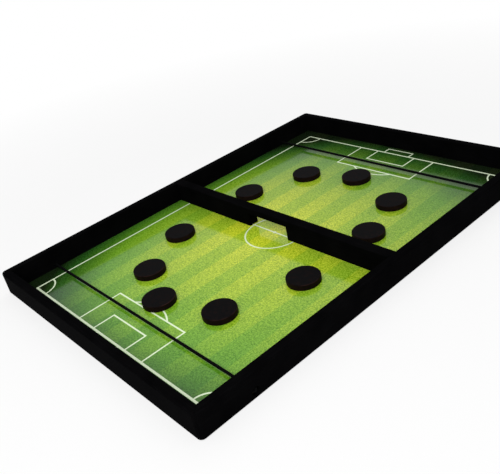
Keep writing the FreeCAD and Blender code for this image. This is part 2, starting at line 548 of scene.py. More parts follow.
def smooth_line(name: str, route: Sequence[Vector]) -> list[Vector]:
    """The points of the smooth line that a cord's route gives.

    Args:
        name: the line's name.
        route: the route's control points.

    Returns:
        The points, from the route's first to its last.
    """
    curve = bpy.data.curves.new(name, "CURVE")
    curve.dimensions = "3D"
    spline = curve.splines.new("NURBS")
    spline.points.add(len(route) - 1)
    for point, corner in zip(spline.points, route):
        point.co = (*corner, 1.0)
    spline.order_u = 3
    spline.use_endpoint_u = True
    host = on_stage(bpy.data.objects.new(name, curve))
    depsgraph = bpy.context.evaluated_depsgraph_get()
    mesh = bpy.data.meshes.new_from_object(host.evaluated_get(depsgraph), depsgraph=depsgraph)
    points = [vertex.co.copy() for vertex in mesh.vertices]
    bpy.data.objects.remove(host)
    bpy.data.curves.remove(curve)
    bpy.data.meshes.remove(mesh)
    return points


def give_material(piece: bpy.types.Object, material: bpy.types.Material) -> None:
    """Puts one material in every slot of a piece.

    Args:
        piece: a mesh object.
        material: the material.
    """
    if not piece.material_slots:
        piece.data.materials.append(material)
    for slot in piece.material_slots:
        slot.material = material


def stand_in(piece: bpy.types.Object, node: str, body: str) -> bpy.types.Object:
    """Lets a finished piece take a CAD node's place.

    Args:
        piece: the piece.
        node: the CAD node's name.
        body: the body that the piece moves with.

    Returns:
        The piece.
    """
    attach(piece, body)
    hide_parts(node)
    return piece


# ---------------------------------------------------------------- finishes


@dataclass(frozen=True)
class BlackPaint:
    """Satin black paint on wood, with the grain just showing through."""

    grain: Grain
    colour: Colour = (0.0011, 0.0011, 0.0013)
    worn_colour: Colour = (0.0048, 0.0046, 0.0050)
    roughness: float = 0.40
    gloss: float = 0.0007
    pores_per_metre: float = 1500.0
    clouds_per_metre: float = 38.0
    mist_per_metre: float = 2600.0
    pore_level: float = 0.46
    pore_depth: float = 0.05 * MM

    def material(self) -> bpy.types.Material:
        """Builds the paint.

        Returns:
            The material: cloudy black, paler and duller in the open pores.
        """
        dressing = Dressing(f"black_paint_{self.grain.name.lower()}", Specular_IOR_Level=self.gloss)
        pores = dressing.noise(self.pores_per_metre, self.grain.value, detail=3.0, rough=0.6)
        cloud = dressing.noise(self.clouds_per_metre, detail=3.0)
        mist = dressing.noise(self.mist_per_metre, detail=1.0)
        open_pores = ((self.pore_level - pores) * 7.0).clamped()
        tone = (cloud * 0.9 + open_pores * 0.35 + mist * 0.25 - 0.32).clamped()
        return dressing.dress(
            Base_Color=dressing.mixed(tone, self.colour, self.worn_colour),
            Roughness=cloud * 0.16 + open_pores * 0.12 + self.roughness,
            Normal=dressing.relief(pores * 0.8 + mist * 0.2, self.pore_depth),
        )


@dataclass(frozen=True)
class PitchLines:
    """The markings of a football pitch about its centre spot, in millimetres."""

    centre_x: float = 4.5
    centre_y: float = -1.5
    half_width: float = 129.5
    half_length: float = 189.5
    line: float = 1.45
    outline: float = 1.7
    near_goal_line_extra: float = 0.3
    near_goal_line_reach: float = 13.5
    softness: float = 0.35
    circle_radius: float = 28.5
    spot_radius: float = 1.7
    box_half_width: float = 48.0
    box_depth: float = 42.5
    area_half_width: float = 24.0
    area_depth: float = 21.0
    goal_half_width: float = 16.0
    goal_depth: float = 9.0
    corner_radius: float = 17.0
    arc_half_chord: float = 24.0
    arc_height: float = 8.0

    def _past(self, distance: Signal) -> Signal:
        """1 where a distance is over 0 and 0 where it is under, with a soft edge."""
        return (distance / self.softness + 0.5).clamped()

    def _ink(self, distance: Signal, width: Number) -> Signal:
        """Ink where the distance to a line's middle is under half its width."""
        return self._past(width / 2 - distance)

    def mask(self, across: Signal, along: Signal) -> Signal:
        """Where the white ink is.

        Args:
            across: millimetres from the centre spot, across the pitch.
            along: millimetres from the centre spot, along the pitch.

        Returns:
            1 on a line and 0 off it. But for the bolder near goal line, one quarter gives the whole pitch.
        """
        u, v = abs(across), abs(along)
        from_side, from_end = self.half_width - u, self.half_length - v
        from_edge = from_side.at_most(from_end)
        from_spot = u.diagonal(v)
        circle = abs(from_spot - self.circle_radius)
        box = abs((u - self.box_half_width).at_least(from_end - self.box_depth))
        area = abs((u - self.area_half_width).at_least(from_end - self.area_depth))
        corner = abs(from_side.diagonal(from_end) - self.corner_radius)
        within = circle.at_most(box).at_most(area).at_most(corner).at_most(v)
        goal = abs((u - self.goal_half_width).at_least(-self.goal_depth - from_end))
        arc_radius = (self.arc_half_chord**2 + self.arc_height**2) / (2 * self.arc_height)
        arc_centre = self.box_depth - (arc_radius - self.arc_height)
        arc = abs(u.diagonal(from_end - arc_centre) - arc_radius)
        near_end = ((self.near_goal_line_reach - (along + self.half_length)) / self.goal_depth).clamped()
        outline = near_end * self.near_goal_line_extra + self.outline
        lines = self._ink(abs(from_edge), outline)
        lines = lines.at_least(self._past(from_edge) * self._ink(within, self.line))
        lines = lines.at_least(self._past(-from_end) * self._ink(goal, self.line))
        lines = lines.at_least(self._past(from_end - self.box_depth) * self._ink(arc, self.line))
        return lines.at_least(self._past(self.spot_radius - from_spot))


@dataclass(frozen=True)
class PitchPrint:
    """A glossy laminated print of a mown pitch: stripes, a glow in the middle and white lines. The glow's
    fall-off, darkest towards the left rail and the far end, holds painted shade as well as the print's own
    glow.
    """

    lines: PitchLines = PitchLines()
    stripe: float = 19.63
    stripe_edge: float = 1.2
    # The glow sits off-centre and falls off faster to the left and far end: painted shade on top of the
    # printed glow.
    glow_x: float = -19.1
    glow_y: float = -4.3
    glow_skew: float = 0.016
    glow_tilt: float = -0.068
    glow_reach_left: float = 151.2
    glow_reach_right: float = 299.0
    glow_reach_near: float = 228.5
    glow_reach_far: float = 208.6
    glow_squareness: float = 2.39
    glow_break: float = 0.04
    red_fade: float = 0.00018
    green_fade: float = 0.00052
    dark_stripe: Colour = (0.713, 0.863, 0.90)
    ink_colour: Colour = (0.87, 1.00, 0.72)
    ink_cover: float = 0.9
    dark_blades: Colour = (0.43, 0.60, 0.0)
    light_blades: Colour = (1.57, 1.40, 4.0)
    blade_contrast: float = 3.8
    blades_per_metre: float = 780.0
    flecks_per_metre: float = 1300.0
    tufts_per_metre: float = 140.0
    smudges_per_metre: float = 26.0
    waves_per_metre: float = 240.0
    wear: float = 0.8
    wear_level: float = 0.52
    gloss: float = 0.46
    roughness: float = 0.09
    waviness: float = 0.0025 * MM
    bow: float = 2.6 * MM
    court_middle: float = 103.5
    court_half_width: float = 142.0
    court_half_length: float = 98.0
    # Glow stops: the printed glow, with painted shade in the dark outer stops near the rails.
    glow: tuple[tuple[float, Colour], ...] = (
        (0.0, (0.618, 0.708, 0.0144)),
        (0.2, (0.485, 0.596, 0.0132)),
        (0.4, (0.371, 0.514, 0.0125)),
        (0.6, (0.230, 0.410, 0.0106)),
        (0.72, (0.154, 0.330, 0.0096)),
        (0.82, (0.073, 0.190, 0.0072)),
        (0.91, (0.027, 0.097, 0.0058)),
        (1.0, (0.011, 0.019, 0.0030)),
    )

    def material(self) -> bpy.types.Material:
        """Builds the print.

        Returns:
            The material: grass with its grain, white ink on it and a slightly swollen glossy skin.
        """
        dressing = Dressing("pitch_print", Specular_IOR_Level=self.gloss)
        x, y, _ = dressing.split(dressing.place())
        x, y = x / MM, y / MM
        blades = dressing.noise(self.blades_per_metre, (1.0, 0.8, 1.0), detail=1.0, rough=0.6)
        flecks = dressing.noise(self.flecks_per_metre, detail=1.0)
        tufts = dressing.noise(self.tufts_per_metre, (1.0, 0.6, 1.0), detail=3.0, rough=0.6)
        shade = (blades * 0.5 + flecks * 0.42 + tufts * 0.08 - 0.5) * self.blade_contrast + 0.5
        grain = dressing.mixed(shade.clamped(), self.dark_blades, self.light_blades)
        grassy = dressing.tinted(self._grass(dressing, x, y, tufts), grain)
        ink = self.lines.mask(x - self.lines.centre_x, y - self.lines.centre_y)
        worn_ink = ink * (1.0 - (blades - self.wear_level).clamped() * self.wear) * self.ink_cover
        smudge = dressing.noise(self.smudges_per_metre, (1.0, 0.35, 1.0), detail=4.0, rough=0.6)
        waves = dressing.relief(dressing.noise(self.waves_per_metre, detail=1.0), self.waviness)
        return dressing.dress(
            Base_Color=dressing.mixed(worn_ink, grassy, self.ink_colour),
            Roughness=smudge * 0.06 + self.roughness,
            Normal=dressing.relief(self._bow(x, y), self.bow, waves),
        )

    def _bow(self, x: Signal, y: Signal) -> Signal:
        """The way the sheet swells between the rails of each court, which only its reflections show.

        Args:
            x: millimetres along X.
            y: millimetres along Y.

        Returns:
            The height, where 1 is the sheet's rise over the court.
        """
        across = (x / self.court_half_width) ** 2.0
        along = ((abs(y) - self.court_middle) / self.court_half_length) ** 2.0
        return 2.0 - across - along

    def _grass(self, dressing: Dressing, x: Signal, y: Signal, tufts: Signal) -> bpy.types.NodeSocket:
        """The mown stripes under the glow, whose fall-off also holds painted shade.

        Args:
            dressing: the material under construction.
            x: millimetres along X.
            y: millimetres along Y.
            tufts: noise that breaks the glow's rings.

        Returns:
            The colour.
        """
        aside = x - y * self.glow_skew - self.glow_x
        beyond = y - x * self.glow_tilt - self.glow_y
        to_left, to_right = (-aside).at_least(0.0), aside.at_least(0.0)
        to_near, to_far = (-beyond).at_least(0.0), beyond.at_least(0.0)
        away_x = (to_left / self.glow_reach_left + to_right / self.glow_reach_right) ** self.glow_squareness
        away_y = (to_near / self.glow_reach_near + to_far / self.glow_reach_far) ** self.glow_squareness
        away = (away_x + away_y) ** (1 / self.glow_squareness) + (tufts - 0.5) * self.glow_break
        # Darker towards the far end, lighter towards the near end: print tone and painted shade together.
        fading = dressing.joined(1.0 - y * self.red_fade, 1.0 - y * self.green_fade, 1.0)
        grass = dressing.tinted(dressing.ramp(away, self.glow), fading)
        steepness = self.stripe / (math.pi * self.stripe_edge)
        wave = ((x - self.lines.centre_x) * (math.pi / self.stripe)).cosine()
        dark = (0.5 - wave * steepness).clamped()
        return dressing.mixed(dark, grass, dressing.tinted(grass, self.dark_stripe))


@dataclass(frozen=True)
class Hardboard:
    """The brown underside of a pressed fibre board, with its fine mesh pattern."""

    light: Colour = (0.330, 0.200, 0.102)
    dark: Colour = (0.062, 0.031, 0.014)
    roughness: float = 0.62
    gloss: float = 0.3
    fibres_per_metre: float = 700.0
    clouds_per_metre: float = 22.0
    mesh_pitch: float = 1.6 * MM
    mesh_depth: float = 0.12 * MM

    def material(self) -> bpy.types.Material:
        """Builds the board.

        Returns:
            The material: brown fibres, pressed by a wire mesh.
        """
        dressing = Dressing("hardboard", Specular_IOR_Level=self.gloss)
        x, y, _ = dressing.split(dressing.place())
        turn = 2 * math.pi / self.mesh_pitch
        screen = (x * turn).sine() * (y * turn).sine() * 0.5 + 0.5
        fibre = dressing.noise(self.fibres_per_metre, (1.0, 0.4, 1.0), detail=4.0, rough=0.7)
        cloud = dressing.noise(self.clouds_per_metre, detail=3.0)
        tone = ((fibre - 0.5) * 1.5 + (cloud - 0.5) * 0.5 + (screen - 0.5) * 0.35 + 0.45).clamped()
        return dressing.dress(
            Base_Color=dressing.mixed(tone, self.dark, self.light),
            Roughness=fibre * 0.2 + self.roughness,
            Normal=dressing.relief(screen * 0.6 + fibre * 0.4, self.mesh_depth),
        )


@dataclass(frozen=True)
class PuckLacquer:
    """Thin satin black lacquer on turned wood: turning rings on the faces, a browner side and a painted
    highlight in patches round each rim.
    """

    colour: Colour = (0.0026, 0.0024, 0.0028)
    brown: Colour = (0.0150, 0.0068, 0.0056)
    # Colour of the painted highlight laid in patches round each rim.
    rim_highlight_colour: Colour = (0.046, 0.020, 0.017)
    roughness: float = 0.34
    gloss: float = 0.02
    specks_per_metre: float = 1500.0
    clouds_per_metre: float = 300.0
    highlight_patches_per_metre: float = 55.0
    highlight_patch_level: float = 0.48
    ring_pitch: float = 0.42 * MM
    ring_depth: float = 0.02 * MM
    face_share: float = 0.965
    side_share: float = 0.03
    rim_share: float = 0.975
    highlight_band_share: float = 0.022

    def material(self, radius: float) -> bpy.types.Material:
        """Builds the lacquer.

        Args:
            radius: the puck's radius.

        Returns:
            The material, which reads how far each point is from the puck's axis.
        """
        dressing = Dressing("puck_lacquer", Specular_IOR_Level=self.gloss)
        reach = dressing.carried("from_axis")
        speck = dressing.noise(self.specks_per_metre, detail=2.0)
        cloud = dressing.noise(self.clouds_per_metre, detail=3.0)
        highlight_patches = dressing.noise(self.highlight_patches_per_metre, detail=2.0)
        share = reach / radius
        side = ((share - self.face_share) / self.side_share).clamped()
        rim = (1.0 - abs(share - self.rim_share) / self.highlight_band_share).clamped()
        # Painted highlight: reddish patches round each rounded rim stand in for light that the edge catches.
        rim_highlight = rim * ((highlight_patches - self.highlight_patch_level) * 6.0).clamped()
        rings = (reach * (2 * math.pi / self.ring_pitch) + cloud * 5.0).sine() * 0.5 + 0.5
        tone = (side * 0.45 + (speck - 0.5) * 0.5 + (cloud - 0.5) * 1.1 + 0.04).clamped()
        lacquer = dressing.mixed(tone, self.colour, self.brown)
        return dressing.dress(
            Base_Color=dressing.mixed(rim_highlight * 0.8, lacquer, self.rim_highlight_colour),
            Roughness=cloud * 0.14 + rings * 0.05 + self.roughness,
            Normal=dressing.relief(rings * 0.5 + speck * 0.5, self.ring_depth),
        )


@dataclass(frozen=True)
class WovenElastic:
    """The black woven cover of an elastic cord, with painted shade making it darker between its strands."""

    strand: Colour = (0.0044, 0.0044, 0.0049)
    # Colour of the painted shade in the hollows between the strands.
    painted_gap_shade: Colour = (0.0008, 0.0008, 0.0009)
    roughness: float = 0.86
    gloss: float = 0.03
    fibre_pitch: float = 0.14 * MM
    fibre_depth: float = 0.012 * MM

    def material(self) -> bpy.types.Material:
        """Builds the cover.

        Returns:
            The material, which reads the weave's height and the way of its strands.
        """
        dressing = Dressing("woven_elastic", Specular_IOR_Level=self.gloss)
        fibres = (dressing.carried("strand_way") * (2 * math.pi / self.fibre_pitch)).sine() * 0.5 + 0.5
        # Painted shade: the low parts of the weave are coloured darker, towards the gap colour.
        tone = (dressing.carried("weave") * 0.75 + fibres * 0.25).clamped()
        return dressing.dress(
            Base_Color=dressing.mixed(tone, self.painted_gap_shade, self.strand),
            Roughness=self.roughness - tone * 0.2,
            Normal=dressing.relief(fibres, self.fibre_depth),
        )


@dataclass(frozen=True)
class BrightSteel:
    """Zinc-bright steel, finely brushed."""

    name: str
    colour: Colour = (0.56, 0.57, 0.58)
    dull: Colour = (0.36, 0.36, 0.37)
    roughness: float = 0.24
    scratches_per_metre: float = 3200.0
    spots_per_metre: float = 900.0
    scratch_depth: float = 0.006 * MM

    def material(self) -> bpy.types.Material:
        """Builds the steel.

        Returns:
            The material: bright metal with duller spots.
        """
        dressing = Dressing(self.name, Metallic=1.0)
        scratches = dressing.noise(self.scratches_per_metre, (1.0, 0.05, 1.0), detail=2.0)
        spots = dressing.noise(self.spots_per_metre, detail=3.0)
        tone = (spots * 0.5 + scratches * 0.3).clamped()
        return dressing.dress(
            Base_Color=dressing.mixed(tone, self.colour, self.dull),
            Roughness=spots * 0.2 + self.roughness,
            Normal=dressing.relief(scratches, self.scratch_depth),
        )


# ---------------------------------------------------------------- sub-assemblies


@dataclass
class WoodenFrame:
    """The four mitred rails and the divider, with their arrises eased, in black paint."""

    arris: float = 0.14 * MM
    sharp_degrees: float = 38.0
    flat_degrees: float = 0.4
    segments: int = 2
    rails: tuple[tuple[Grain, tuple[str, ...]], ...] = (
        (Grain.LENGTHWAYS, ("side_rail_left", "side_rail_right")),
        (Grain.CROSSWAYS, ("end_rail_near", "end_rail_far", "divider")),
    )

    def build(self) -> list[bpy.types.Object]:
        """Eases and paints every rail.

        Returns:
            The painted pieces.
        """
        pieces = []
        for grain, nodes in self.rails:
            paint = BlackPaint(grain).material()
            for node in nodes:
                piece = self._eased(node)
                give_material(piece, paint)
                pieces.append(stand_in(piece, node, BOARD))
        return pieces

    def _eased(self, node: str) -> bpy.types.Object:
        """Copies a CAD node, merges its loose triangles and rounds its sharp arrises.

        Args:
            node: the CAD node's name.

        Returns:
            The new piece.
        """
        work = bmesh.new()
        work.from_mesh(frame["nodes"][node].data)
        bmesh.ops.remove_doubles(work, verts=work.verts, dist=MERGE_DISTANCE)
        flat = math.radians(self.flat_degrees)
        bmesh.ops.dissolve_limit(work, angle_limit=flat, verts=work.verts, edges=work.edges)
        limit = math.radians(self.sharp_degrees)
        sharp = [edge for edge in work.edges if len(edge.link_faces) == 2 and edge.calc_face_angle() > limit]
        bmesh.ops.bevel(
            work,
            geom=sharp,
            offset=self.arris,
            offset_type="OFFSET",
            segments=self.segments,
            profile=0.5,
            affect="EDGES",
            clamp_overlap=False,
        )
        mesh = bpy.data.meshes.new(f"{node}_painted")
        work.to_mesh(mesh)
        work.free()
        piece = on_stage(bpy.data.objects.new(mesh.name, mesh))
        shade_by_angle(piece, self.sharp_degrees)
        return piece


@dataclass
class Bed:
    """The base board and the printed pitch on it, which keep their CAD shapes."""

    hardboard: Hardboard = Hardboard()
    pitch: PitchPrint = PitchPrint()

    def build(self) -> list[bpy.types.Object]:
        """Dresses both.

        Returns:
            The two CAD nodes.
        """
        board, sheet = frame["nodes"]["base_board"], frame["nodes"]["field_sheet"]
        give_material(board, self.hardboard.material())
        give_material(sheet, self.pitch.material())
        return [board, sheet]


@dataclass
class Pucks:
    """Ten turned discs with rounded rims and very slightly dished faces, five in each court."""

    rim_radius: float = 0.75 * MM
    hollow: float = 0.06 * MM
    steps_round: int = 96
    steps_per_rim: int = 7
    steps_per_face: int = 6
    sharp_degrees: float = 50.0

    def build(self) -> list[bpy.types.Object]:
        """Makes every puck where its CAD node lies.

        Returns:
            The pucks.
        """
        low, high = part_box("puck_near_1")
        radius = (high.x - low.x) / 2
        jig = self._lathe(radius, high.z - low.z, PuckLacquer().material(radius))
        pieces = []
        for node in sorted(name for name in frame["nodes"] if name.startswith("puck_")):
            low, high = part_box(node)
            middle = (low + high) / 2
            piece = jig.make(f"{node}_turned", {"X": middle.x, "Y": middle.y, "Z": middle.z})
            shade_by_angle(piece, self.sharp_degrees)
            pieces.append(stand_in(piece, node, node))
        return pieces

    def _lathe(self, radius: float, thickness: float, lacquer: bpy.types.Material) -> Jig:
        """The tree that turns a disc.

        Args:
            radius: the disc's radius.
            thickness: its thickness.
            lacquer: its material.

        Returns:
            The tree, with the disc's sizes and place as inputs.
        """
        sizes = {"Radius": radius, "Thickness": thickness, "Rim": self.rim_radius, "Hollow": self.hollow}
        jig = Jig("turned_puck", {**sizes, "X": 0.0, "Y": 0.0, "Z": 0.0})
        half, rim = jig.size("Thickness") / 2.0, jig.size("Rim")
        flat, hollow = jig.size("Radius") - rim, jig.size("Hollow")
        upper = []
        for step in range(self.steps_per_face):
            share = step / self.steps_per_face
            upper.append((flat * share, half - hollow * math.sqrt(1.0 - share)))
        for step in range(self.steps_per_rim + 1):
            turn = math.pi / 2 * step / self.steps_per_rim
            upper.append((flat + rim * math.sin(turn), half - rim * (1.0 - math.cos(turn))))
        stations = [(reach, -height) for reach, height in upper] + list(reversed(upper))
        disc = jig.turned(stations, self.steps_round, "from_axis")
        x, y, z = jig.here()
        place = jig.joined(jig.size("X") + x, jig.size("Y") + y, jig.size("Z") + z)
        jig.end(jig.moved(disc, place), lacquer)
        return jig


@dataclass
class Sling:
    """One elastic: two halves, which the part hinges at the side rails, and a knot in each side rail."""

    end: End
    strands: int = 8
    radius: float = 1.25 * MM
    longest: float = 152 * MM
    braid_relief: float = 0.055 * MM
    tuck: float = 0.05 * MM
    tuck_length: float = 0.5 * MM
    step: float = 0.2 * MM
    steps_round: int = 32
    in_hole: float = 3.2 * MM
    sheet_gap: float = 0.2 * MM
    bend_start: float = 1.9 * MM
    bend_length: float = 3.4 * MM

    def build(self, cover: bpy.types.Material) -> list[bpy.types.Object]:
        """Makes both halves and both knots.

        Args:
            cover: the woven cover's material.

        Returns:
            The four pieces.
        """
        jig = self._braider(cover)
        pieces = []
        for side in Side:
            pieces.append(self._half(jig, side))
            pieces.append(Knot(self.end, side).build(cover))
        return pieces

    def _node(self, side: Side) -> str:
        """The name of a half's CAD node, which is also its body's."""
        return f"sling_{self.end.name.lower()}_{side.name.lower()}"

    def _half(self, jig: Jig, side: Side) -> bpy.types.Object:
        """One half, which bends where it leaves the rail.

        Args:
            jig: the braider.
            side: the side rail that it comes out of.

        Returns:
            The piece.
        """
        node = self._node(side)
        low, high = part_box(node)
        joint = next(item for item in frame["joints"] if item["child"] == node)
        pivot = Vector(joint["pos_m"])
        outward = Vector((side.value, 0.0, 0.0))
        over_middle = abs(pivot.x) * (1 / math.cos(math.radians(max(joint["range_deg"]))) - 1)
        wall = Vector((side.value * (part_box("field_sheet")[1].x + self.sheet_gap), pivot.y, pivot.z))
        middle = Vector((0.0, pivot.y, pivot.z))
        route = [wall + outward * self.in_hole, wall, (wall + middle) / 2, middle - outward * over_middle]
        line = smooth_line(f"{node}_line", route)
        sizes = {
            "Start": line[0].x,
            "Reach": (line[-1] - line[0]).length,
            "Inward": float(-side.value),
            "Y": pivot.y,
            "Z": pivot.z,
            "Radius": (high.z - low.z) / 2,
        }
        piece = jig.make(f"{node}_braided", sizes)
        piece.data.shade_smooth()
        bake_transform(piece)
        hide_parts(node)
        return piece

    def _braider(self, cover: bpy.types.Material) -> Jig:
        """The tree that weaves a cord along X: a grid wrapped into a round-ended tube, diamonds in relief.

        Args:
            cover: the woven cover's material.

        Returns:
            The tree, with the cord's place and sizes as inputs.
        """
        place = {"Start": 0.0, "Inward": 1.0, "Y": 0.0, "Z": 0.0}
        jig = Jig(f"braided_{self.end.name.lower()}", {**place, "Reach": self.longest, "Radius": self.radius})
        columns = int(self.longest / self.step) + 1
        grid, along_share, round_share = jig.grid(columns, self.steps_round + 1)
        radius, reach = jig.size("Radius"), jig.size("Reach")
        along = along_share * (reach + radius)
        angle = round_share * (2 * math.pi)
        x = jig.size("Start") + jig.size("Inward") * along
        half_turn = angle * (self.strands / 2)
        half_twist = x * (self.strands / self.radius) / 2.0
        weave = (half_turn + half_twist).sine() * (half_turn - half_twist).sine()
        to_tip = ((reach + radius - along) / radius).at_most(1.0)
        to_root = (along / radius).at_most(1.0)
        nose = (1.0 - (1.0 - to_tip) ** 2.0).root() * (1.0 - (1.0 - to_root) ** 2.0).root()
        past_middle = (jig.size("Inward") * x / self.tuck_length).clamped()
        body = radius - self.braid_relief - past_middle * self.tuck + weave * self.braid_relief
        reach_out = body * nose
        y, z = jig.size("Y") + reach_out * angle.cosine(), jig.size("Z") + reach_out * angle.sine()
        marked = jig.store(grid, "weave", weave * 0.5 + 0.5)
        marked = jig.store(marked, "strand_way", x * STRAND_SLOPE + angle * STRAND_REACH)
        jig.end(jig.moved(marked, jig.joined(x, y, z)), cover)
        return jig


@dataclass
class Knot:
    """The overhand knot that holds an elastic in a side rail's counterbore."""

    end: End
    side: Side
    thread_radius: float = 1.02 * MM
    loop: float = 0.62 * MM
    lift: float = 0.85 * MM
    depth: float = 5.55 * MM
    lead: tuple[float, ...] = (0.3 * MM, 1.2 * MM, 2.1 * MM, 2.9 * MM)
    first_degrees: float = 28.0
    sweep_degrees: float = 304.0
    tail: tuple[float, float, float] = (7.0 * MM, 0.35 * MM, 0.5 * MM)
    strands: int = 8
    twist_reach: float = 0.28 * MM
    turns: int = 96
    steps_round: int = 14

    def build(self, cover: bpy.types.Material) -> bpy.types.Object:
        """Makes the knot.

        Args:
            cover: the woven cover's material.

        Returns:
            The piece, which stands for the CAD knot.
        """
        node = f"knot_{self.end.name.lower()}_{self.side.name.lower()}"
        low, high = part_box(node)
        wall = (low + high) / 2
        wall.x = low.x if self.side is Side.RIGHT else high.x
        points = [wall + Vector((self.side.value * out, across, up)) for out, across, up in self._path()]
        piece = on_stage(bpy.data.objects.new(f"{node}_tied", self._tube(points, node)))
        give_material(piece, cover)
        piece.data.shade_smooth()
        return stand_in(piece, node, BOARD)

    def _path(self) -> list[Vector]:
        """The thread's middle line, with X as the way out of the rail.

        Returns:
            A straight lead through the hole, an open trefoil and a short tail.
        """
        points = [Vector((distance, 0.0, 0.0)) for distance in self.lead]
        for index in range(self.turns + 1):
            t = math.radians(self.first_degrees + self.sweep_degrees * index / self.turns)
            across = self.loop * (math.sin(t) + 2 * math.sin(2 * t))
            up = self.loop * (math.cos(t) - 2 * math.cos(2 * t))
            points.append(Vector((self.depth - self.lift * math.sin(3 * t), across, up)))
        return points + [Vector(self.tail)]

    def _tube(self, points: Sequence[Vector], name: str) -> bpy.types.Mesh:
        """A closed round tube along points, with the weave's numbers on its points.

        Args:
            points: the middle line.
            name: the mesh's name.

        Returns:
            The mesh.
        """
        work = bmesh.new()
        weave = work.verts.layers.float.new("weave")
        way = work.verts.layers.float.new("strand_way")
        side, run, rings = Vector((0.0, 0.0, 1.0)), 0.0, []
        for index, point in enumerate(points):
            ahead, behind = points[min(index + 1, len(points) - 1)], points[max(index - 1, 0)]
            forward = (ahead - behind).normalized()
            side = (side - forward * side.dot(forward)).normalized()
            other = forward.cross(side)
            run += (point - behind).length
            ring = []
            for step in range(self.steps_round):
                angle = 2 * math.pi * step / self.steps_round
                outward = side * math.cos(angle) + other * math.sin(angle)
                vertex = work.verts.new(point + outward * self.thread_radius)
                half_turn, half_twist = angle * self.strands / 2, run / self.twist_reach
                diamonds = math.sin(half_turn + half_twist) * math.sin(half_turn - half_twist)
                vertex[weave] = 0.5 + 0.5 * diamonds
                vertex[way] = run * STRAND_SLOPE + angle * STRAND_REACH
                ring.append(vertex)
            rings.append(ring)
        for first, second in zip(rings, rings[1:]):
            for step in range(self.steps_round):
                following = (step + 1) % self.steps_round
                work.faces.new((first[step], first[following], second[following], second[step]))
        work.faces.new(rings[0])
        work.faces.new(rings[-1])
        bmesh.ops.recalc_face_normals(work, faces=work.faces)
        mesh = bpy.data.meshes.new(name)
        work.to_mesh(mesh)
        work.free()
        return mesh


